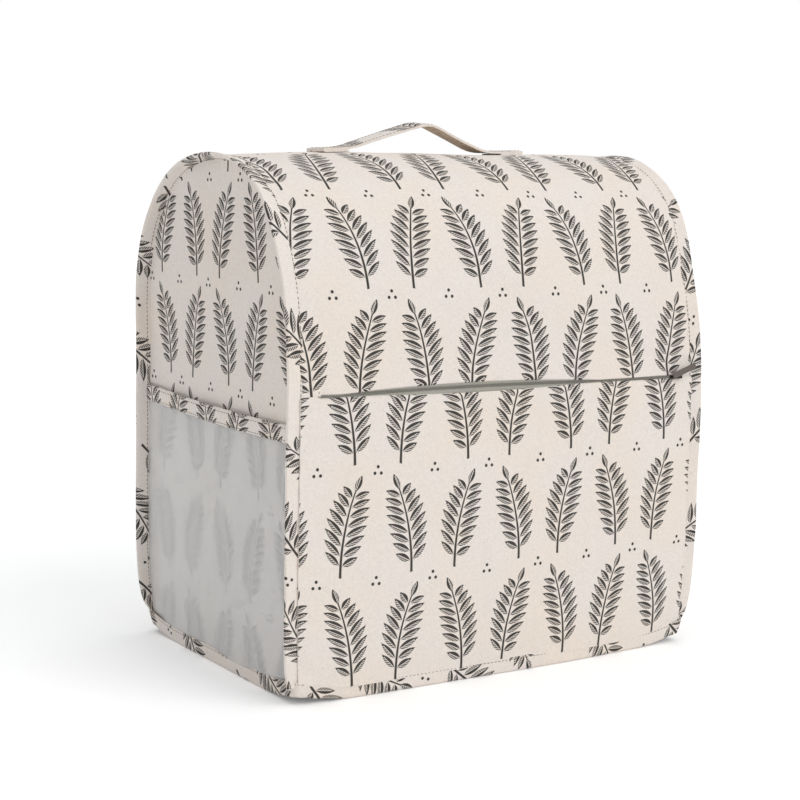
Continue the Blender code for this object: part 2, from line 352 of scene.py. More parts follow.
    def settled(self, points: np.ndarray) -> np.ndarray:
        """Return where points of the even cover stand.

        The right end is a little taller than the left, and its shoulders are flatter. The left
        end's arch leans back a little.

        Args:
            points: Rows of (x, y, z).

        Returns:
            The moved points.
        """
        x, y, z = points.T
        right = np.clip((x - self.settle_from) / (self.width / 2 - self.settle_from), 0.0, None)
        left = np.clip((self.settle_from - x) / (self.width / 2 + self.settle_from), 0.0, 1.0)
        crown = 1.0 - self.shoulder_drop * (y / self.half_depth) ** 2
        across, up = (eased((place - start) / over)
                      for place, start, over in zip((x, z), self.rise_from, self.rise_over))
        rise = self.right_rise * crown * across * up
        shoulder = np.exp(-(((z - self.shoulder_level) / self.shoulder_reach) ** 2)) * right ** 2
        lean = self.left_lean * np.exp(-(((z - self.lean_level) / self.lean_reach) ** 2)) * left ** 2
        depth = y * (1.0 - self.shoulder_share * shoulder) + lean
        return np.column_stack((x - self.shoulder_in * shoulder, depth, z + rise))

    def crown_height(self, x: float) -> float:
        """Return the height of the long panel's outer face on the crown."""
        top = self.height - self.seam_rise
        return top + self.fullness(x / self.panel_half, 0.0, top - self.cloth / 2)


FORM = CoverForm()


def operation(name: str, turned: bool = False) -> Callable[..., "Term"]:
    """Make a method of a shader value.

    Args:
        name: The Math node's operation.
        turned: Whether the two values change places.

    Returns:
        The method.
    """

    def method(value: "Term", *others: Any) -> "Term":
        """Add the Math node on this value and the others."""
        values = (value, *others)
        return value.graph.math(name, *(values[::-1] if turned else values))

    return method


@dataclass(frozen=True)
class Term:
    """One shader value, which takes part in Python expressions."""

    graph: "Graph"
    socket: bpy.types.NodeSocket

    __add__ = __radd__ = operation("ADD")
    __sub__ = operation("SUBTRACT")
    __rsub__ = operation("SUBTRACT", turned=True)
    __mul__ = __rmul__ = operation("MULTIPLY")
    __truediv__ = operation("DIVIDE")
    __gt__ = operation("GREATER_THAN")
    __lt__ = operation("LESS_THAN")
    __abs__ = operation("ABSOLUTE")
    floor = operation("FLOOR")
    fraction = operation("FRACT")
    sine = operation("SINE")
    root = operation("SQRT")
    most = operation("MAXIMUM")

    def clamped(self) -> "Term":
        """Return the value held between 0 and 1."""
        return self.graph.math("ADD", self, 0.0, clamp=True)


class Graph:
    """A material's node tree, built by expressions."""

    def __init__(self, name: str) -> None:
        """Start a material with one Principled shader."""
        self.material = bpy.data.materials.new(name)
        self.material.use_nodes = True
        self.tree = self.material.node_tree
        self.shader = self.tree.nodes["Principled BSDF"]

    def put(self, socket: bpy.types.NodeSocket, value: Any) -> None:
        """Link a term to a socket, or set its constant."""
        if isinstance(value, Term):
            self.tree.links.new(value.socket, socket)
        else:
            socket.default_value = value

    def node(self, kind: str, settings: dict[str, Any], sockets: dict[Any, Any],
             output: int | str = 0) -> Term:
        """Add a node.

        Args:
            kind: The node's type.
            settings: Attributes, which are set first.
            sockets: Values or terms by input name or number.
            output: The output that is returned.

        Returns:
            The chosen output.
        """
        made = self.tree.nodes.new(kind)
        for key, value in settings.items():
            setattr(made, key, value)
        for key, value in sockets.items():
            self.put(made.inputs[key], value)
        return Term(self, made.outputs[output])

    def math(self, operation: str, *values: Any, clamp: bool = False) -> Term:
        """Add a Math node on terms and numbers."""
        settings = {"operation": operation, "use_clamp": clamp}
        return self.node("ShaderNodeMath", settings, dict(enumerate(values)))

    def blend(self, factor: Any, first: Any, second: Any) -> Term:
        """Mix two colours."""
        return self.node("ShaderNodeMix", {"data_type": "RGBA"}, {0: factor, 6: first, 7: second}, 2)

    def ramp(self, value: Term, low: float, high: float) -> Term:
        """Return 0 below low and 1 above high, smooth between."""
        settings = {"interpolation_type": "SMOOTHSTEP"}
        return self.node("ShaderNodeMapRange", settings, {"Value": value, 1: low, 2: high})

    def object_place(self) -> Term:
        """Return the place in the object's own space."""
        return self.node("ShaderNodeTexCoord", {}, {}, "Object")

    def surface_place(self) -> Term:
        """Return the place on the piece's own map, in metres."""
        return self.node("ShaderNodeUVMap", {"uv_map": "UVMap"}, {})

    def split(self, vector: Term) -> tuple[Term, Term, Term]:
        """Return a vector's three parts."""
        made = self.tree.nodes.new("ShaderNodeSeparateXYZ")
        self.put(made.inputs[0], vector)
        return tuple(Term(self, socket) for socket in made.outputs)

    def cloud(self, place: Term, size: float, detail: float = 2.0) -> Term:
        """Return noise from 0 to 1 whose patches are about `size` metres."""
        sockets = {"Vector": place, "Scale": 1.0 / size, "Detail": detail}
        return self.node("ShaderNodeTexNoise", {}, sockets)

    def bump(self, height: Term, strength: float, distance: float) -> None:
        """Feed a height to the shader's normal."""
        sockets = {"Strength": strength, "Distance": distance, "Height": height}
        self.put(self.shader.inputs["Normal"], self.node("ShaderNodeBump", {}, sockets))

    def set(self, **values: Any) -> None:
        """Set or link the shader's sockets, named with _ for spaces."""
        for key, value in values.items():
            self.put(self.shader.inputs[key.replace("_", " ")], value)


@dataclass(frozen=True)
class SprigPrint:
    """A leafy sprig in straight rows, every second one mirrored. Sizes are millimetres."""

    tile_wide: float = 45.0
    tile_tall: float = 73.0
    lean: float = 0.22
    pitch: float = 6.4
    pairs: int = 8
    leaf_long: float = 19.0
    leaf_half: float = 2.35
    leaf_turn: float = 0.61
    stalk: float = 7.0
    seed_dot: float = 1.15

    def blade(self, along: Term, across: Term, length: Any, soft: float) -> Term:
        """Draw one leaf with a bare vein and a hatched lower half.

        Args:
            along: Distance from the leaf's foot towards its tip.
            across: Distance from the leaf's middle line.
            length: The leaf's length.
            soft: Width of the printed edge.

        Returns:
            1 where there is ink.
        """
        share = (along - 1.2) / (length - 1.2)
        half = share * (1.0 - share) * (4.6 - 1.2 * share) * self.leaf_half
        body = ((half - abs(across)) / soft + 0.5).clamped()
        vein = ((0.20 - abs(across)) / 0.2 + 0.5).clamped() * (share < 0.82)
        stripe = (((along * 0.8 + across * 1.2) / 1.6).fraction() > 0.66) * (across < -0.25)
        return body * (1.0 - vein) * (1.0 - stripe)

    def ink(self, u: Term, v: Term, soft: float = 0.28) -> Term:
        """Return 1 where the cloth is printed.

        Args:
            u: Place across the cloth, in millimetres.
            v: Place up the cloth, in millimetres.
            soft: Width of the printed edge.

        Returns:
            The ink's mask.
        """
        column = (u / self.tile_wide).floor()
        row = (v / self.tile_tall).floor()
        side = 1.0 - 4.0 * ((column + row) / 2.0).fraction()
        x = (u - (column + 0.5) * self.tile_wide) * side
        y = v - (row + 0.5) * self.tile_tall
        turned_x = x * math.cos(self.lean) - y * math.sin(self.lean)
        turned_y = x * math.sin(self.lean) + y * math.cos(self.lean)
        rise = turned_y + self.pairs * self.pitch / 2
        bend = turned_y / 34.0
        offset = turned_x - 4.0 * bend * bend + 1.5
        beside = abs(offset)
        top = self.pairs * self.pitch
        stem_half = 0.95 - 0.45 * rise / top
        stem = ((stem_half - beside) / soft + 0.5).clamped() * (rise > -self.stalk) * (rise < top)
        mask = stem.most(self.blade(rise - (top - 2.5), offset, 12.5, soft))
        cell = (rise / self.pitch).floor()
        for below in (0.0, 1.0):
            order = cell - below
            lift = rise - order * self.pitch
            along = beside * math.cos(self.leaf_turn) + lift * math.sin(self.leaf_turn)
            across = lift * math.cos(self.leaf_turn) - beside * math.sin(self.leaf_turn)
            place = (order - 3.0) / 4.5
            length = self.leaf_long * (1.0 - 0.45 * place * place)
            there = (order > -0.5) * (order < self.pairs - 0.5)
            mask = mask.most(self.blade(along, across, length, soft) * there)
        return mask.most(self.seeds(u, v, soft))

    def seeds(self, u: Term, v: Term, soft: float) -> Term:
        """Draw three seeds where four sprigs meet."""
        x = ((u / self.tile_wide + 0.5).fraction() - 0.5) * self.tile_wide
        y = ((v / self.tile_tall + 0.5).fraction() - 0.5) * self.tile_tall
        found = None
        for turn in range(3):
            angle = math.radians(90 + 120 * turn)
            away_x = x - 2.8 * math.cos(angle)
            away_y = y - 2.8 * math.sin(angle)
            dot = ((self.seed_dot - (away_x * away_x + away_y * away_y).root()) / soft + 0.5).clamped()
            found = dot if found is None else found.most(dot)
        return found


@dataclass(frozen=True)
class CanvasFinish:
    """Natural cotton canvas with a charcoal print."""

    name: str
    colour: tuple[float, float, float] = (0.826, 0.762, 0.713)
    ink: tuple[float, float, float] = (0.018, 0.0165, 0.0145)
    facing: Facing = Facing.UPRIGHT
    shift: tuple[float, float] = (0.0, 0.0)
    printed: bool = True
    thread_pitch: float = 0.95
    slub: float = 0.0022
    patch: float = 0.045
    grain: float = 0.0018
    fleck: float = 0.0011
    fleck_colour: tuple[float, float, float] = (0.36, 0.26, 0.17)
    ink_wear: float = 0.0009

    def weave(self, graph: Graph, u: Term, v: Term, place: Term) -> Term:
        """Return the height of the crossing threads and their slubs."""
        turns = math.tau / self.thread_pitch
        threads = (u * turns).sine() * (v * turns).sine()
        return threads * 0.35 + graph.cloud(place, self.slub, 3.0)

    def build(self) -> bpy.types.Material:
        """Return the material."""
        graph = Graph(self.name)
        place = graph.object_place()
        u, v, _ = graph.split(graph.surface_place())
        u, v = u / MM, v / MM
        turn = self.facing.value
        along = u * math.cos(turn) - v * math.sin(turn) + self.shift[0]
        up = u * math.sin(turn) + v * math.cos(turn) + self.shift[1]
        shade = tuple(part * 0.86 for part in self.colour)
        warm = (self.colour[0] * 1.02, self.colour[1] * 0.985, self.colour[2] * 0.94)
        patch = graph.ramp(graph.cloud(place, self.patch), 0.35, 0.70)
        cloth = graph.blend(patch, (*self.colour, 1.0), (*warm, 1.0))
        grain = graph.ramp(graph.cloud(place, self.grain, 2.0), 0.32, 0.68)
        cloth = graph.blend(0.42 * grain, cloth, (*shade, 1.0))
        fleck = graph.ramp(graph.cloud(place, self.fleck, 1.0), 0.715, 0.76)
        cloth = graph.blend(fleck * 0.45, cloth, (*self.fleck_colour, 1.0))
        if self.printed:
            worn = 0.90 + 0.10 * graph.cloud(place, self.ink_wear, 2.0)
            mask = SprigPrint().ink(along, up) * worn
            cloth = graph.blend(mask, cloth, (*self.ink, 1.0))
        graph.set(Base_Color=cloth, Roughness=0.92, Specular_IOR_Level=0.18,
                  Sheen_Weight=0.06, Sheen_Roughness=0.5)
        graph.bump(self.weave(graph, along, up, place), 0.50, 0.0003)
        return graph.material


@dataclass(frozen=True)
class FilmFinish:
    """Frosted film that scatters the light on its way through."""

    name: str = "frosted_film_finish"
    colour: tuple[float, float, float] = (1.0, 0.997, 0.997)
    clear: float = 0.92

    def build(self) -> bpy.types.Material:
        """Return the material."""
        graph = Graph(self.name)
        place = graph.object_place()
        cooler = tuple(part * 0.98 for part in self.colour)
        tint = graph.blend(graph.cloud(place, 0.060), (*self.colour, 1.0), (*cooler, 1.0))
        frost = 0.06 + 0.08 * graph.cloud(place, 0.030, 2.0)
        graph.set(Base_Color=tint, Roughness=frost, Transmission_Weight=self.clear, IOR=1.14,
                  Specular_IOR_Level=0.5, Sheen_Weight=0.5, Sheen_Roughness=0.8,
                  Coat_Weight=1.0, Coat_Roughness=0.5, Coat_IOR=1.7)
        return graph.material


@dataclass(frozen=True)
class PlainFinish:
    """A plain finish with fine grain, for thread, tape, teeth and metal."""

    name: str
    colour: tuple[float, float, float]
    roughness: float
    metallic: float = 0.0
    grain: float = 0.0010
    mottle: float = 0.15
    ribs: float = 0.0

    def build(self) -> bpy.types.Material:
        """Return the material."""
        graph = Graph(self.name)
        place = graph.object_place()
        spots = graph.cloud(place, self.grain, 3.0)
        dark = tuple(part * (1.0 - 2.0 * self.mottle) for part in self.colour)
        colour = graph.blend(spots, (*dark, 1.0), (*self.colour, 1.0))
        height = spots
        if self.ribs:
            x, _, z = graph.split(place)
            height = (x * (math.tau / self.ribs)).sine() * (z * (math.tau / self.ribs)).sine() + spots
        graph.set(Base_Color=colour, Roughness=self.roughness + 0.1 * spots, Metallic=self.metallic)
        graph.bump(height, 0.30, 0.0002)
        return graph.material


@dataclass
class Finishes:
    """All the cover's finishes, each built once."""

    made: dict[str, bpy.types.Material] = field(default_factory=dict)

    def get(self, finish: CanvasFinish | FilmFinish | PlainFinish) -> bpy.types.Material:
        """Return a finish's material, building it the first time."""
        if finish.name not in self.made:
            self.made[finish.name] = finish.build()
        return self.made[finish.name]


INSIDE = CanvasFinish("canvas_inside", colour=(0.74, 0.67, 0.60), printed=False)
EDGE = CanvasFinish("canvas_edge", printed=False)
STRAP_BACK = CanvasFinish("strap_back", colour=(0.63, 0.52, 0.41), printed=False)
# Sewing thread: its own brown, darkened further to paint the shade that lies along the stitch grooves.
THREAD_AND_GROOVE_SHADE = PlainFinish("sewing_thread_and_groove_shade", (0.23, 0.165, 0.115), 0.75, grain=0.0006)
FINISHES = Finishes()


def deselect() -> None:
    """Leave nothing selected."""
    bpy.ops.object.select_all(action="DESELECT")


def activate(piece: bpy.types.Object) -> None:
    """Select one piece and make it active."""
    deselect()
    piece.select_set(True)
    bpy.context.view_layer.objects.active = piece


def edit_all(operator: Callable[..., Any], **settings: Any) -> None:
    """Apply an edit-mode operator to the whole of the active mesh."""
    bpy.ops.object.mode_set(mode="EDIT")
    bpy.ops.mesh.select_all(action="SELECT")
    operator(**settings)
    bpy.ops.object.mode_set(mode="OBJECT")


def apply_modifiers(piece: bpy.types.Object) -> None:
    """Apply every modifier of a piece."""
    activate(piece)
    for name in [modifier.name for modifier in piece.modifiers]:
        bpy.ops.object.modifier_apply(modifier=name)


def dress(piece: bpy.types.Object, slot: Slot, *nodes: str) -> None:
    """Let a finished piece settle with the cover, then ride and replace."""
    mesh = piece.data
    spots = np.empty(3 * len(mesh.vertices))
    mesh.vertices.foreach_get("co", spots)
    mesh.vertices.foreach_set("co", FORM.settled(spots.reshape(-1, 3)).ravel())
    mesh.update()
    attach(piece, ROOT)
    if nodes:
        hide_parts(*nodes)
    LOG.info("%s: %d faces", piece.name, len(piece.data.polygons))


def strewn(name: str, seed: bpy.types.Object, spots: list[tuple[Any, Any, Vector]],
           finish: PlainFinish) -> bpy.types.Object:
    """Copy a small seed to many spots, as one mesh.

    Args:
        name: The new piece's name.
        seed: The shape, which is used up.
        spots: The stretch, the turn and the place of each copy.
        finish: The copies' finish.

    Returns:
        The new piece.
    """
    shape = np.array([vert.co[:] for vert in seed.data.vertices])
    faces = [tuple(face.vertices) for face in seed.data.polygons]
    bpy.data.objects.remove(seed)
    points: list[tuple[float, ...]] = []
    polygons: list[tuple[int, ...]] = []
    for stretch, turn, place in spots:
        start = len(points)
        points.extend(map(tuple, (shape * stretch) @ np.array(turn).T + np.array(place)))
        polygons.extend(tuple(start + index for index in face) for face in faces)
    mesh = bpy.data.meshes.new(name)
    mesh.from_pydata(points, [], polygons)
    mesh.materials.append(FINISHES.get(finish))
    piece = bpy.data.objects.new(name, mesh)
    bpy.context.scene.collection.objects.link(piece)
    return piece


@dataclass
class ClothSheet:
    """A sheet laid out by a function of (u, v), both from 0 to 1."""

    name: str
    columns: int
    rows: int
    place: Place
    size: tuple[float, float]
    thickness: float
    outer: CanvasFinish | FilmFinish | PlainFinish
    inner: CanvasFinish | FilmFinish | PlainFinish
    edge: CanvasFinish | FilmFinish | PlainFinish = EDGE
    closed: bool = False
    towards: Vector = Vector((0.0, 0.0, 0.15))
    map_start: tuple[float, float] = (0.0, 0.0)
    even: bool = True
    spacing: Callable[[float], float] = lambda v: v

    def lay(self) -> bpy.types.Object:
        """Add a grid and lay its points and its map.

        Returns:
            The open surface.
        """
        deselect()
        bpy.ops.mesh.primitive_grid_add(x_subdivisions=self.columns, y_subdivisions=self.rows, size=2.0)
        piece = bpy.context.active_object
        piece.name = self.name
        piece.data.name = self.name
        mesh = piece.data
        shares = [((vert.co.x + 1.0) / 2.0, self.spacing((vert.co.y + 1.0) / 2.0))
                  for vert in mesh.vertices]
        for vert, (u, v) in zip(mesh.vertices, shares):
            vert.co = self.place(u, v)
        layer = mesh.uv_layers["UVMap"]
        for loop in mesh.loops:
            u, v = shares[loop.vertex_index]
            layer.data[loop.index].uv = (self.map_start[0] + u * self.size[0],
                                         self.map_start[1] + v * self.size[1])
        return piece

    def face_outwards(self, piece: bpy.types.Object) -> None:
        """Turn the faces so that they look away from the cover's middle."""
        mesh = piece.data
        middle = mesh.polygons[self.columns * (self.rows // 2) + self.columns // 2]
        if (middle.center - self.towards).dot(middle.normal) < 0.0:
            edit_all(bpy.ops.mesh.flip_normals)

    def build(self) -> bpy.types.Object:
        """Return the finished sheet with its thickness."""
        piece = self.lay()
        self.face_outwards(piece)
        if self.closed:
            edit_all(bpy.ops.mesh.remove_doubles, threshold=0.00001)
        for finish in (self.outer, self.inner, self.edge):
            piece.data.materials.append(FINISHES.get(finish))
        body = piece.modifiers.new("cloth thickness", "SOLIDIFY")
        body.thickness = self.thickness
        body.offset = 0.0
        body.use_even_offset = self.even
        body.material_offset = 1
        body.material_offset_rim = 2
        apply_modifiers(piece)
        bpy.ops.object.shade_smooth_by_angle(angle=math.radians(50.0))
        return piece


@dataclass
class StitchRun:
    """Thread lying along sewn lines, one small capsule for each stitch."""

    name: str
    pitch: float = 0.0031
    long: float = 0.0023
    thick: float = 0.00058
    stitches: list[tuple[Vector, Vector]] = field(default_factory=list)

    def sew(self, route: Callable[[float], Vector], length: float) -> None:
        """Add the stitches of one line.

        Args:
            route: The line, as a function from 0 to 1.
            length: The line's length.
        """
        count = max(2, round(length / self.pitch))
        half = self.long / length / 2
        for index in range(count):
            middle = (index + 0.5) / count
            self.stitches.append((route(max(0.0, middle - half)), route(min(1.0, middle + half))))

    def build(self) -> bpy.types.Object:
        """Return all the stitches as one mesh."""
        deselect()
        bpy.ops.mesh.primitive_uv_sphere_add(segments=6, ring_count=4, radius=0.5)
        spots = []
        for first, last in self.stitches:
            along = last - first
            turn = along.to_track_quat("Z", "Y").to_matrix()
            spots.append(((self.thick, self.thick, along.length), turn, (first + last) / 2))
        piece = strewn(self.name, bpy.context.active_object, spots, THREAD_AND_GROOVE_SHADE)
        piece.data.shade_smooth()
        return piece


@dataclass
class LongPanel:
    """The long panel, front over top to back, with the turned edge over the zip."""

    columns: int = 84
    rows: int = 244
    edge: float = 0.0006
    lip_proud: float = 0.0020
    lip_fade: float = 0.014
    lip_rows: int = 24
    lip_run: float = 0.0062
    lip_turn: float = 0.0007
    finish: CanvasFinish = CanvasFinish("main_canvas", shift=(8.0, 30.0))

    def lip(self, x: float, height: float) -> float:
        """Return how far the turned edge over the zip stands out.

        Args:
            x: Place across the cover.
            height: Height on the front wall.

        Returns:
            The distance outwards.
        """
        share = x / FORM.panel_half
        above = height - FORM.lip_edge(x)
        rounded = math.sin(held(above / self.lip_turn) * math.pi / 2)
        return self.lip_proud * rounded * math.exp(-max(0.0, above) / self.lip_fade) * (1.0 - share ** 8)

    def build(self) -> None:
        """Build the panel."""
        outline = FORM.outline(FORM.seam_rise + FORM.cloth / 2)
        half = FORM.side_face + self.edge
        zip_run = FORM.pocket_top - FORM.hem_line + FORM.tuck
        close = (zip_run / outline.length, (zip_run + self.lip_run) / outline.length)
        first = round(close[0] * (self.rows - self.lip_rows)) / self.rows
        knots = (0.0, first, first + self.lip_rows / self.rows, 1.0)

        def place(u: float, v: float) -> Vector:
            """Return a point of the panel's middle surface."""
            depth, height = outline.at(v)
            x = (2.0 * u - 1.0) * (half - FORM.draw_in(height))
            share = x / FORM.panel_half
            point = Vector((x, depth, FORM.lifted(height, FORM.hem_half[0] - abs(x))))
            reach = FORM.fullness(share, depth, height) + FORM.unevenness(point, v * outline.length)
            if depth < 0.0 and height < FORM.spring + 0.02:
                reach += self.lip(x, height)
            normal = outline.outward(v)
            if height < FORM.spring:
                normal.z = 0.0
            return point + normal * reach

        panel = ClothSheet("long_panel", self.columns, self.rows, place, (2 * half, outline.length),
                           FORM.cloth, self.finish, INSIDE, map_start=(-half, 0.0),
                           spacing=lambda v: float(np.interp(v, knots, (0.0, *close, 1.0)))).build()
        dress(panel, Slot.CANVAS, "main_panel")


@dataclass
class EndPanel:
    """One arched end panel."""

    name: str
    node: str
    side: int
    finish: CanvasFinish
    columns: int = 56
    rows: int = 90

    def build(self) -> None:
        """Build the panel."""
        outline = FORM.outline(FORM.seam_rise + FORM.gap)
        swells = Swells(0.0010, 0.060, 5.0 + self.side)

        def place(u: float, v: float) -> Vector:
            """Return a point of the panel's middle surface, its last row just short of the top."""
            depth, height = outline.at(v * 0.4985)
            across = 2.0 * u - 1.0
            y = -depth * across
            sag = FORM.end_sag * (1.0 - across * across) * math.sin(math.pi * height / FORM.height)
            x = FORM.side_face - FORM.cloth / 2 - FORM.draw_in(height) - sag
            point = Vector((self.side * x, y, FORM.lifted(height, FORM.hem_half[1] - abs(y))))
            rim = min(1.0, (1.0 - abs(across)) / 0.15)
            point.x += self.side * rim * swells.at(point)
            return point

        panel = ClothSheet(self.name, self.columns, self.rows, place, (1.0, 1.0), FORM.cloth,
                           self.finish, INSIDE, even=False).build()
        layer = panel.data.uv_layers["UVMap"]
        for loop in panel.data.loops:
            spot = panel.data.vertices[loop.vertex_index].co
            layer.data[loop.index].uv = (self.side * spot.y, spot.z)
        dress(panel, Slot.CANVAS, self.node)


@dataclass
class FoldedTape:
    """Binding tape folded over an edge.

    A spine gives, for each place along it, the tape's open edge, its folded edge and the
    direction of its outer side. The section is a list of (distance from the open edge
    towards the fold, distance to the outer side).
    """

    name: str
    node: str
    spine: Callable[[float], tuple[Vector, Vector, Vector]]
    section: list[tuple[float, float]]
    deep: float
    length: float
    rows: int
    finish: CanvasFinish
    closed: bool = False
    columns: int = 22
    thickness: float = TAPE_THICK
    outer_swell: Callable[[float], float] = lambda share: 0.0

    def on_section(self, along: float, off: float, v: float) -> Vector:
        """Return a point at a place along the spine, by its place in the section."""
        open_edge, fold, side = self.spine(v)
        reach = (fold - open_edge) * (along / self.deep)
        swell = self.outer_swell(v) if off > 0.0 else 0.0
        return open_edge + reach + side * (off + swell)

    def sew(self, thread: StitchRun, along: float, off: float) -> None:
        """Sew a line of stitches along the tape, at this place in its section."""
        thread.sew(lambda v: self.on_section(along, off, v), self.length)

    def build(self) -> None:
        """Build the folded tape."""
        section = Track(np.array(self.section))

        def place(u: float, v: float) -> Vector:
            """Return a point of the tape's middle surface."""
            along, off = section.at(u)
            return self.on_section(along, off, v)

        fold = place(0.5, 0.5)
        middle = (place(0.0, 0.5) + place(1.0, 0.5)) / 2
        flat = (section.length, self.length)
        tape = ClothSheet(self.name, self.columns, self.rows, place, flat, self.thickness, self.finish,
                          INSIDE, closed=self.closed, towards=fold + (middle - fold) * 4.0).build()
        dress(tape, Slot.BINDING, self.node)


def tape_section(deep: float, half: float, over: float = 0.0, tuck: float = 0.0,
                 top: float = 0.0) -> list[tuple[float, float]]:
    """Return the section of a tape folded over an edge.

    Args:
        deep: Distance from the open edge to the outside of the fold.
        half: Half the fold's thickness, to the middle of the tape.
        over: How far the outer side reaches past the open edge.
        tuck: How far the inner side reaches past the open edge.
        top: Extra height of the outer side where it lies on the panel.

    Returns:
        The section's points, outer side first.
    """
    centre = deep - half - TAPE_THICK / 2
    outer = [(-over, half + top), (-over * 0.45, half * 0.92 + top), (0.0, half * 0.95 + top * 0.8),
             (centre * 0.35, half * 1.10 + top * 0.35), (centre * 0.70, half * 1.10)]
    fold = [(centre + half * math.sin(turn), half * math.cos(turn))
            for turn in np.linspace(0.0, math.pi, 9)]
    inner = [(centre * 0.70, -half * 1.08), (centre * 0.35, -half * 1.05), (-tuck, -half * 0.9)]
    return outer + fold + inner


@dataclass
class SeamBinding:
    """The bound seam that stands out round one end."""

    name: str
    node: str
    side: int
    finish: CanvasFinish
    foot: tuple[float, float]
    foot_width: tuple[float, float]
    half: float = 0.0011
    over: float = 0.0034
    tuck: float = 0.0012
    top: float = 0.0007
    outer_line: float = -0.0019
    inner_line: float = 0.0012
    rows: int = 300
    set_back: float = 0.0003
    up_swells: Swells = Swells(0.0009, 0.045, 11.0)
    in_swells: Swells = Swells(0.0005, 0.030, 2.0)

    def build(self, thread: StitchRun) -> None:
        """Build the binding and sew its two stitch lines.

        Args:
            thread: Takes the stitches.
        """
        inner = FORM.outline(FORM.seam_rise + FORM.seam_thick / 2)
        outer = FORM.outline(FORM.seam_thick / 2)
        start = FORM.side_face + FORM.seam_lean
        full = FORM.width / 2 - start

        def spine(v: float) -> tuple[Vector, Vector, Vector]:
            """Return the binding's open edge, fold and outer side."""
            near = inner.at(v)
            far = outer.at(v)
            end = 0 if v < 0.5 else 1
            foot = held((near[1] - FORM.hem_line) / self.foot[end])
            least = self.foot_width[end]
            width = least + (full - least) * math.sqrt(foot * (2.0 - foot))
            reach = width / full
            drawn = FORM.draw_in(near[1])
            open_edge = Vector((self.side * (start - drawn), near[0], FORM.lifted(near[1], 0.0)))
            tip_y = near[0] + (far[0] - near[0]) * reach
            tip_z = near[1] + (far[1] - near[1]) * reach
            fold = Vector((self.side * (start + width - drawn), tip_y, FORM.lifted(tip_z, 0.0)))
            normal = inner.outward(v)
            fold += normal * (self.up_swells.at(fold) - self.set_back)
            fold.x -= self.side * abs(self.in_swells.at(fold))
            return open_edge, fold, normal

        section = tape_section(full, self.half, self.over, self.tuck, self.top)
        binding = FoldedTape(self.name, self.node, spine, section, full, inner.length, self.rows,
                             self.finish)
        binding.build()
        binding.sew(thread, self.outer_line, self.half + self.top + TAPE_THICK / 2)
        binding.sew(thread, self.inner_line, -self.half - TAPE_THICK / 2)


@dataclass
class HemBinding:
    """The binding round the open hem."""

    finish: CanvasFinish
    half: float = 0.0015
    ears: tuple[float, float] = (0.0018, 0.0030)
    ear_reach: float = 0.014
    corner_tuck: float = 0.0032
    stitch_line: float = 0.0016
    side_steps: int = 70
    corner_steps: int = 10
    swells: tuple[float, ...] = (0.0013, 0.0001, 0.0001, 0.0007)
    rows: int = 420
    top_swells: Swells = Swells(0.0005, 0.050, 7.0)
    foot_swells: Swells = Swells(0.0006, 0.040, 1.0)

    def stations(self) -> list[tuple[float, float, float, float, float]]:
        """Return (heading, along, level, distance from the corner, swell) round the hem."""
        half_x, half_y = FORM.hem_half
        stations = []
        for turn in range(4):
            heading = math.pi / 2 * turn
            reach, run = (half_y, half_x) if turn % 2 == 0 else (half_x, half_y)
            straight = run - FORM.hem_corner
            swell = self.swells[turn]
            for step in range(self.side_steps):
                across = 2.0 * step / self.side_steps - 1.0
                bow = FORM.fullness(across, turn - 1.0, FORM.hem_tall) if turn % 2 == 0 else 0.0
                along = straight * across
                stations.append((heading, along, reach + bow, run - abs(along), swell))
            for step in range(self.corner_steps):
                angle = math.pi / 2 * step / self.corner_steps
                ear = FORM.hem_ear * math.sin(2.0 * angle) * math.sqrt(0.5)
                along = straight + FORM.hem_corner * math.sin(angle) + ear
                level = reach - FORM.hem_corner * (1.0 - math.cos(angle)) + ear
                distance = FORM.hem_corner * (1.0 - min(math.sin(angle), math.cos(angle)))
                stations.append((heading, along, level, distance, swell))
        return stations

    def build(self, thread: StitchRun) -> None:
        """Build the binding and sew its stitch line.

        Args:
            thread: Takes the stitches.
        """
        stations = self.stations()
        plan = []
        for heading, along, level, distance, swell in stations:
            x = along * math.cos(heading) + level * math.sin(heading)
            y = along * math.sin(heading) - level * math.cos(heading)
            ear = self.ears[0] if x < 0.0 else self.ears[1]
            x += math.copysign(ear * bell(max(0.0, distance - FORM.hem_corner), self.ear_reach), x)
            plan.append((x, y, FORM.corner_lift(distance), swell))
        loop = Track(np.array(plan + plan[:1]))

        def spine(v: float) -> tuple[Vector, Vector, Vector]:
            """Return the binding's open edge, fold and outer side."""
            x, y, lift, _ = loop.at(v % 1.0)
            before = loop.at((v - 0.002) % 1.0)
            after = loop.at((v + 0.002) % 1.0)
            side = Vector((after[1] - before[1], before[0] - after[0], 0.0)).normalized()
            spot = Vector((x, y, 0.0))
            top = Vector((x, y, FORM.hem_tall + lift + self.top_swells.at(spot)))
            tuck = self.corner_tuck * (lift / FORM.corner_rise) ** 2
            fold = Vector((x, y, lift)) + side * (self.foot_swells.at(spot) - tuck)
            return top, fold, side

        section = tape_section(FORM.hem_tall, self.half)
        binding = FoldedTape("hem_tape", "hem_binding", spine, section, FORM.hem_tall, loop.length,
                             self.rows, self.finish, closed=True,
                             outer_swell=lambda v: loop.at(v % 1.0)[3])
        binding.build()
        for side in (1, -1):
            binding.sew(thread, self.stitch_line, side * (self.half + TAPE_THICK / 2))


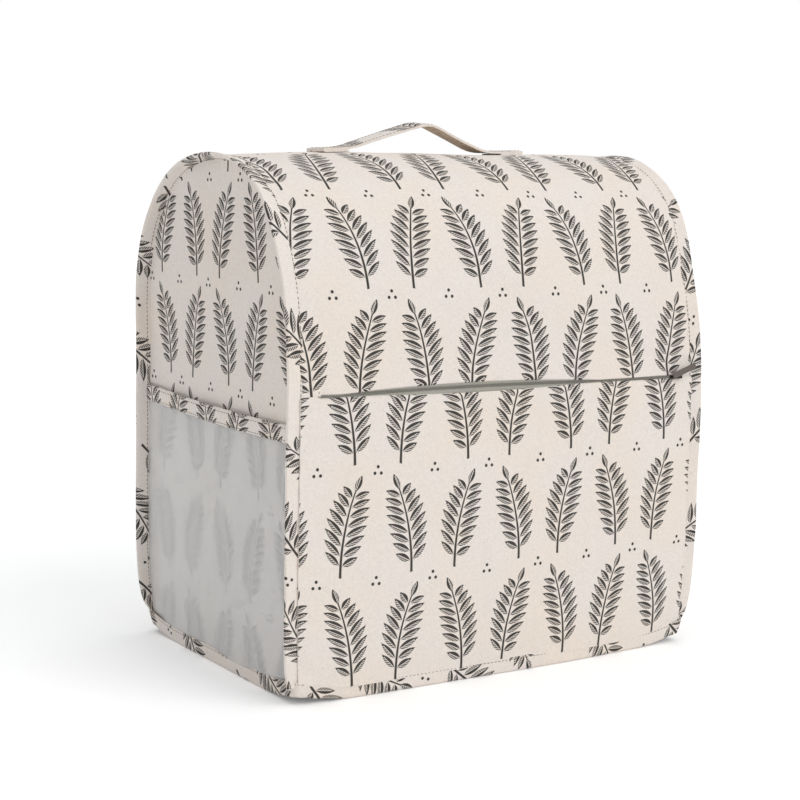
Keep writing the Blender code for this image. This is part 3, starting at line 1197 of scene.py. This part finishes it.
@dataclass
class FrontPocket:
    """The pocket over the lower front, with its zip."""

    columns: int = 84
    rows: int = 64
    thickness: float = 0.0012
    roll: float = 0.0008
    rolled: float = 0.97
    clear: float = 0.0002
    full: float = 0.0016
    gape: float = 0.0014
    swells: tuple[Swells, ...] = (Swells(0.0008, 0.070, 21.0), Swells(0.0003, 0.026, 4.0))
    finish: CanvasFinish = CanvasFinish("pocket_canvas", shift=(21.0, 4.0))
    tape: PlainFinish = PlainFinish("zip_tape_finish", (0.475, 0.462, 0.404), 0.85,
                                    grain=0.0015, ribs=0.0009)
    teeth: PlainFinish = PlainFinish("zip_teeth_finish", (0.26, 0.25, 0.215), 0.45, grain=0.002)
    # Slider metal: dark metal, made near-black to also paint the shade of the gap under the pull tab.
    metal: PlainFinish = PlainFinish("zip_metal_and_gap_shade_finish", (0.035, 0.032, 0.030), 0.45,
                                     metallic=0.60, grain=0.003)
    tab: PlainFinish = PlainFinish("zip_pull_finish", (0.160, 0.131, 0.114), 0.50,
                                   metallic=0.20, grain=0.002)
    tape_wide: float = 0.0125
    tape_laps: tuple[float, float] = (0.0040, 0.0030)
    tape_proud: float = 0.0004
    tape_bow: float = 0.0006
    bow_reach: float = 0.080
    tooth_radius: float = 0.00032
    tooth_long: float = 0.0016
    tooth_pitch: float = 0.00125
    tooth_lean: float = 0.42
    tooth_shift: float = 0.00035
    tooth_bevel: float = 0.0001
    teeth_proud: float = 0.0013
    teeth_bow: float = 0.0003
    teeth_arch: float = 0.0013
    slider_x: float = 0.1515
    slider_proud: float = 0.0026
    # The slider reaches along under the pull tab, so its near-black body also stands for the painted
    # shade there.
    slider_size: tuple[float, float, float] = (0.0110, 0.0032, 0.0032)
    pull_size: tuple[float, float, float] = (0.0234, 0.0012, 0.0044)
    pull_turn: float = 18.0
    pull_reach: float = 0.0062
    pull_proud: float = 0.0028
    pull_up: float = 0.0026
    zip_level: float = 0.0010
    zip_end: float = 0.011

    def panel(self) -> None:
        """Build the pocket's panel, its top edge turned over towards the zip."""
        half = FORM.side_face - self.clear
        low = FORM.pocket_foot

        def place(u: float, v: float) -> Vector:
            """Return a point of the pocket's middle surface."""
            across = 2.0 * u - 1.0
            x = across * half
            top = FORM.pocket_edge(x) - self.roll
            share = min(1.0, v / self.rolled)
            height = low + (top - low) * share
            slack = self.full * (1.0 - across ** 4) * math.sin(math.pi * (0.06 + 0.86 * share))
            gape = self.gape * bell(x - FORM.dip_centre, 0.075) * share ** 6
            proud = FORM.cloth / 2 + self.clear + self.thickness / 2 + slack + gape
            x *= 1.0 - FORM.draw_in(height) / half
            point = FORM.front_point(x, height, proud)
            quiet = min(1.0, (1.0 - abs(across)) / 0.12) * min(1.0, share * 8.0)
            point.y -= quiet * sum(swells.at(point) for swells in self.swells)
            if v > self.rolled:
                turn = math.pi * (v - self.rolled) / (1.0 - self.rolled)
                point.y += self.roll * (1.0 - math.cos(turn))
                point.z += self.roll * math.sin(turn)
            return point

        tall = FORM.pocket_top - low
        pocket = ClothSheet("front_pocket_panel", self.columns, self.rows, place, (2 * half, tall),
                            self.thickness, self.finish, INSIDE, map_start=(-half, 0.0)).build()
        dress(pocket, Slot.CANVAS, "front_pocket")

    def zip_tape(self) -> None:
        """Build the zip's woven tape."""
        half = FORM.panel_half - self.zip_end

        def place(u: float, v: float) -> Vector:
            """Return a point of the tape, which bows forward a little with the pocket."""
            x = (2.0 * u - 1.0) * half
            low = FORM.pocket_edge(x) - self.tape_laps[0]
            high = FORM.lip_edge(x) + self.tape_laps[1]
            height = low + (high - low) * v
            bow = self.tape_bow * bell(x - FORM.dip_centre, self.bow_reach) * (1.0 - v)
            return FORM.front_point(x, height, FORM.cloth / 2 + self.tape_proud + bow)

        flat = (2 * half, self.tape_wide)
        tape = ClothSheet("zip_woven_tape", 60, 8, place, flat, TAPE_THICK, self.tape, self.tape,
                          edge=self.tape).build()
        dress(tape, Slot.TAPE, "zip_tape")

    def zip_teeth(self) -> None:
        """Build the two rows of interlocked teeth as one mesh."""
        deselect()
        bpy.ops.mesh.primitive_cylinder_add(vertices=6, radius=self.tooth_radius, depth=self.tooth_long)
        edit_all(bpy.ops.mesh.bevel, offset=self.tooth_bevel, segments=1, affect="EDGES")
        start = -FORM.panel_half + self.zip_end + 0.002
        stop = self.slider_x - 0.003
        spots = []
        for index in range(2 * int((stop - start) / self.tooth_pitch)):
            x = start + index * self.tooth_pitch / 2
            row = 1 if index % 2 else -1
            bow = self.teeth_bow * bell(x - FORM.dip_centre, self.bow_reach)
            proud = FORM.cloth / 2 + self.teeth_proud + bow
            level = FORM.pocket_top + self.zip_level + self.teeth_arch * FORM.gape(x)
            place = FORM.front_point(x, level + row * self.tooth_shift, proud)
            spots.append((1.0, Matrix.Rotation(row * self.tooth_lean, 3, "Y"), place))
        teeth = strewn("zip_teeth_rows", bpy.context.active_object, spots, self.teeth)
        dress(teeth, Slot.TEETH, "zip_coil")

    def block(self, name: str, size: tuple[float, float, float], spot: Vector, turn: float,
              finish: PlainFinish, dish: float) -> bpy.types.Object:
        """Return a small rounded metal piece with a dished front.

        Args:
            name: The piece's name.
            size: Its size.
            spot: Its middle.
            turn: How far it is turned about Y.
            finish: Its finish.
            dish: Width of the rim round the dished front.

        Returns:
            The piece.
        """
        deselect()
        bpy.ops.mesh.primitive_cube_add(size=1.0)
        piece = bpy.context.active_object
        piece.name = name
        piece.data.name = name
        piece.scale = size
        bpy.ops.object.transform_apply(location=False, rotation=False, scale=True)
        for face in piece.data.polygons:
            face.select = face.normal.y < -0.9
        bpy.ops.object.mode_set(mode="EDIT")
        bpy.ops.mesh.select_mode(type="FACE")
        bpy.ops.mesh.inset(thickness=dish, depth=-0.0003)
        bpy.ops.object.mode_set(mode="OBJECT")
        edges = piece.modifiers.new("rounded edges", "BEVEL")
        edges.width = 0.0004
        edges.segments = 2
        apply_modifiers(piece)
        bpy.ops.object.shade_smooth_by_angle(angle=math.radians(40.0))
        piece.data.materials.append(FINISHES.get(finish))
        piece.data.transform(Matrix.Translation(spot) @ Matrix.Rotation(turn, 4, "Y"))
        return piece

    def hardware(self) -> None:
        """Build the slider and its pull tab."""
        proud = FORM.cloth / 2 + self.slider_proud
        spot = FORM.front_point(self.slider_x, FORM.pocket_top + self.zip_level, proud)
        slider = self.block("zip_slider_body", self.slider_size, spot, 0.0, self.metal, 0.0007)
        dress(slider, Slot.METAL, "zip_slider")
        turn = math.radians(self.pull_turn)
        reach = self.pull_reach
        at = spot + Vector((reach * math.cos(turn), -self.pull_proud,
                            self.pull_up + reach * math.sin(turn)))
        pull = self.block("zip_pull_tab", self.pull_size, at, -turn, self.tab, 0.0008)
        dress(pull, Slot.PULL, "zip_pull")

    def build(self) -> None:
        """Build the pocket and its zip."""
        self.panel()
        self.zip_tape()
        self.zip_teeth()
        self.hardware()


@dataclass
class FilmPocket:
    """The frosted pocket on the left end, with its printed band."""

    film: FilmFinish = FilmFinish()
    band: CanvasFinish = CanvasFinish("film_band_canvas", facing=Facing.SIDEWAYS, shift=(6.0, 40.0))
    full: float = 0.0042
    full_height: float = 0.195
    clear: float = 0.0008
    clear_reach: float = 0.030
    thickness: float = 0.0004
    under_band: float = 0.004
    film_lap: float = 0.0015
    film_swells: Swells = Swells(0.0006, 0.055, 31.0)
    band_half: float = 0.0009
    band_lap: float = 0.0010
    band_proud: float = 0.0006
    band_swells: Swells = Swells(0.0004, 0.030)
    stitch_lines: tuple[float, float] = (0.0014, 0.0022)

    def half(self, height: float) -> float:
        """Return half the film's width between the standing seams."""
        return FORM.half_depth - FORM.seam_rise - FORM.seam_thick - 2 * FORM.gap - FORM.draw_in(height)

    def reach(self, share: float, height: float) -> float:
        """Return how far the film stands out of the end's face."""
        rise = min(1.0, height / self.full_height)
        slack = self.full * (1.0 - share * share) * math.sin(math.pi * rise)
        clear = self.clear * held((height - FORM.hem_line) / self.clear_reach)
        return FORM.side_face + 0.0001 + clear + slack - FORM.draw_in(height)

    def band_height(self, share: float) -> float:
        """Return the height of the band's lower edge."""
        return FORM.band_edge + FORM.band_slant * share - FORM.band_dip * (1.0 - share * share)

    def build(self, thread: StitchRun) -> None:
        """Build the film and its band.

        Args:
            thread: Takes the band's stitches.
        """
        low = FORM.pocket_foot

        def place(u: float, v: float) -> Vector:
            """Return a point of the film."""
            share = 2.0 * u - 1.0
            height = low + (self.band_height(share) + self.under_band - low) * v
            y = share * (self.half(height) + self.film_lap)
            level = FORM.lifted(height, FORM.hem_half[1] - abs(y))
            point = Vector((-self.reach(share, height), y, level))
            point.x -= self.film_swells.at(point) * (1.0 - share * share)
            return point

        wide = 2 * self.half(FORM.draw_height)
        flat = (wide, FORM.band_edge + self.under_band - low)
        film = ClothSheet("frosted_pocket", 40, 44, place, flat, self.thickness, self.film, self.film,
                          edge=self.film).build()
        dress(film, Slot.FILM, "side_pocket")

        def spine(v: float) -> tuple[Vector, Vector, Vector]:
            """Return the band's open edge, fold and outer side."""
            share = 2.0 * v - 1.0
            height = self.band_height(share)
            y = share * (self.half(height) + self.band_lap)
            x = -self.reach(share, height) - self.band_proud
            uneven = self.band_swells.at(Vector((0.0, y, 0.0)))
            fold = Vector((x - uneven, y, height + FORM.band_tall))
            return Vector((x, y, height)), fold, Vector((-1.0, 0.0, 0.0))

        section = tape_section(FORM.band_tall, self.band_half)
        band = FoldedTape("film_band", "side_pocket_binding", spine, section, FORM.band_tall, wide, 90,
                          self.band)
        band.build()
        for along in (self.stitch_lines[0], FORM.band_tall - self.stitch_lines[1]):
            band.sew(thread, along, self.band_half + TAPE_THICK / 2)


@dataclass
class CarryingStrap:
    """The strap sewn along the top, both ends turned under."""

    wide: float = 0.0245
    thick: float = 0.0016
    layer: float = 0.0017
    clear: float = 0.0006
    smooth: float = 0.008
    fold: float = 0.019
    slope_step: float = 0.0006
    loop_x: float = -0.005
    loop_reach: float = 0.050
    loop_twist: float = 0.05
    foot_x: float = 0.024
    foot_reach: float = 0.026
    foot_twist: float = 0.06
    hollow: float = 0.0004
    narrowing: Swells = Swells(0.05, 0.020, 8.0)
    stitch_edge: float = 0.80
    end_lines: tuple[float, float] = (0.003, 0.016)
    knots_x: tuple[float, ...] = (-0.092, -0.071, -0.003, 0.048, 0.080)
    knots_rise: tuple[float, ...] = (0.0, 0.0, 0.0200, 0.0, 0.0)
    finish: CanvasFinish = CanvasFinish("strap_canvas", facing=Facing.SIDEWAYS, shift=(26.0, 12.0))

    def route(self) -> Track:
        """Return the strap's (x, height) points from one turned end to the other."""
        stations = np.linspace(self.knots_x[0], self.knots_x[-1], 120)
        window = np.linspace(-self.smooth, self.smooth, 15)
        upper = []
        for x in stations:
            rise = float(np.mean(np.interp(x + window, self.knots_x, self.knots_rise)))
            upper.append((float(x), FORM.crown_height(x) + FORM.gap + self.clear + self.layer + rise))
        ends = []
        for side, (x, level) in ((-1, upper[0]), (1, upper[-1])):
            half = self.layer / 2
            turn = [(x + side * half * math.sin(angle), level - half * (1.0 - math.cos(angle)))
                    for angle in np.linspace(0.0, math.pi, 9)[1:-1]]
            under = [x - side * self.fold * share for share in np.linspace(0.0, 1.0, 9)]
            turn += [(at, FORM.crown_height(at) + FORM.gap + self.clear) for at in under]
            ends.append(turn)
        route = Track(np.array(ends[0][::-1] + upper + ends[1]))
        route.step = self.slope_step / route.length
        return route

    def build(self, thread: StitchRun) -> None:
        """Build the strap.

        Args:
            thread: Takes the strap's stitches.
        """
        route = self.route()
        length = route.length

        def on_strap(across: float, v: float, proud: float = 0.0) -> Vector:
            """Return a point of the strap, or one standing proud of its face."""
            x, height = route.at(v)
            spot = Vector((x, 0.0, height))
            ahead, upwards = route.along(v)
            normal = Vector((-upwards, 0.0, ahead)).normalized()
            free = bell(spot.x - self.loop_x, self.loop_reach)
            foot = bell(spot.x - self.foot_x, self.foot_reach)
            lift = (free * self.loop_twist + self.foot_twist * foot) * across * self.wide / 2
            spot.y = across * self.wide / 2 * (1.0 - abs(self.narrowing.at(spot)))
            return spot + normal * (proud + lift - self.hollow * free * across * across)

        strap = ClothSheet("carrying_strap", 16, 190, lambda u, v: on_strap(2.0 * u - 1.0, v),
                           (self.wide, length), self.thick, self.finish, STRAP_BACK).build()
        dress(strap, Slot.CANVAS, "handle")
        start = (self.fold + self.layer * math.pi / 2) / length
        open_share = 1.0 - 2.0 * start
        proud = self.thick / 2
        edge = self.stitch_edge
        for side in (-edge, edge):
            thread.sew(lambda v, a=side: on_strap(a, start + open_share * v, proud), length * open_share)
        for at in self.end_lines:
            for end in (start + at / length, 1.0 - start - at / length):
                thread.sew(lambda v, e=end: on_strap(2.0 * edge * v - edge, e, proud), self.wide * edge)


@dataclass
class Studio:
    """Camera, lights and floor."""

    yaw: float = 33.549
    pitch: float = 7.069
    roll: float = 1.253
    place: tuple[float, float, float] = (-0.70143, -1.03177, 0.33571)
    lens: float = 75.315
    sky: float = 0.54
    backdrop: float = 1.0
    floor_glow: float = 0.15

    def camera(self) -> None:
        """Set the camera at the photograph's place and angle."""
        yaw, pitch, roll = (math.radians(angle) for angle in (self.yaw, self.pitch, self.roll))
        level_part = math.cos(pitch)
        forward = Vector((math.sin(yaw) * level_part, math.cos(yaw) * level_part, -math.sin(pitch)))
        level = Vector((math.cos(yaw), -math.sin(yaw), 0.0))
        upright = level.cross(forward)
        right = level * math.cos(roll) + upright * math.sin(roll)
        up = upright * math.cos(roll) - level * math.sin(roll)
        data = bpy.data.cameras.new("photo_camera")
        data.lens = self.lens
        data.sensor_width = 36.0
        data.clip_end = 100.0
        camera = bpy.data.objects.new("photo_camera", data)
        turn = Matrix((right, up, -forward)).transposed().to_4x4()
        camera.matrix_world = Matrix.Translation(Vector(self.place)) @ turn
        bpy.context.scene.collection.objects.link(camera)
        bpy.context.scene.camera = camera

    def softbox(self, name: str, towards: tuple[float, float, float], power: float, spread: float,
                colour: tuple[float, float, float] = (1.0, 1.0, 1.0)) -> None:
        """Add a wide, distant light.

        Args:
            name: The light's name.
            towards: Direction from the cover to the light.
            power: Its strength.
            spread: How wide it stands in the sky, in degrees.
            colour: Its colour.
        """
        data = bpy.data.lights.new(name, "SUN")
        data.energy = power
        data.angle = math.radians(spread)
        data.color = colour
        lamp = bpy.data.objects.new(name, data)
        lamp.rotation_euler = Vector(towards).to_track_quat("Z", "Y").to_euler()
        bpy.context.scene.collection.objects.link(lamp)

    def floor(self) -> None:
        """Lay a plain pale floor, brightened for the camera alone."""
        deselect()
        bpy.ops.mesh.primitive_plane_add(size=80.0, location=(0.0, 0.0, 0.0))
        floor = bpy.context.active_object
        floor.name = "studio_floor"
        graph = Graph("studio_floor_finish")
        seen = graph.node("ShaderNodeLightPath", {}, {}, "Is Camera Ray") * self.floor_glow
        graph.set(Base_Color=(0.99, 0.99, 0.99, 1.0), Roughness=0.9, Specular_IOR_Level=0.1,
                  Emission_Color=seen, Emission_Strength=1.0)
        floor.data.materials.append(graph.material)

    def world(self) -> None:
        """Fill the room with even light, under a white backdrop."""
        world = bpy.data.worlds.new("studio_world")
        world.use_nodes = True
        tree = world.node_tree
        path = tree.nodes.new("ShaderNodeLightPath")
        level = tree.nodes.new("ShaderNodeMath")
        level.operation = "MULTIPLY_ADD"
        level.inputs[1].default_value = self.backdrop - self.sky
        level.inputs[2].default_value = self.sky
        tree.links.new(path.outputs["Is Camera Ray"], level.inputs[0])
        sky = tree.nodes["Background"]
        sky.inputs["Color"].default_value = (1.0, 1.0, 1.0, 1.0)
        tree.links.new(level.outputs[0], sky.inputs["Strength"])
        bpy.context.scene.world = world

    def build(self) -> None:
        """Set the whole studio, shown in plain display colours."""
        bpy.context.scene.view_settings.view_transform = "Standard"
        self.camera()
        self.world()
        self.floor()
        self.softbox("key_light", (0.35, -0.75, 0.56), 1.06, 50.0, (1.0, 0.985, 0.955))
        self.softbox("top_light", (0.05, 0.10, 1.0), 0.76, 60.0, (0.93, 0.97, 1.0))
        self.softbox("side_light", (-0.85, -0.30, 0.35), 0.10, 50.0, (0.93, 0.97, 1.0))


def main() -> None:
    """Build the whole cover and its studio."""
    logging.basicConfig(level=logging.INFO)
    Studio().build()
    thread = StitchRun("sewing_thread_runs")
    LongPanel().build()
    EndPanel("end_panel_left", "side_panel_left", -1,
             CanvasFinish("left_end_canvas", shift=(14.0, 22.0))).build()
    EndPanel("end_panel_right", "side_panel_right", 1,
             CanvasFinish("right_end_canvas", shift=(35.0, 9.0))).build()
    SeamBinding("seam_tape_left", "seam_binding_left", -1,
                CanvasFinish("left_seam_canvas", shift=(3.0, 11.0), facing=Facing.BIAS),
                foot=(0.020, 0.036), foot_width=(0.0072, 0.0016)).build(thread)
    SeamBinding("seam_tape_right", "seam_binding_right", 1,
                CanvasFinish("right_seam_canvas", shift=(30.0, 47.0), facing=Facing.BIAS),
                foot=(0.036, 0.036), foot_width=(0.0034, 0.0034)).build(thread)
    HemBinding(CanvasFinish("hem_canvas", shift=(17.0, 5.0), facing=Facing.BIAS)).build(thread)
    FrontPocket().build()
    FilmPocket().build(thread)
    CarryingStrap().build(thread)
    dress(thread.build(), Slot.BINDING)


if __name__ == "__main__":
    main()
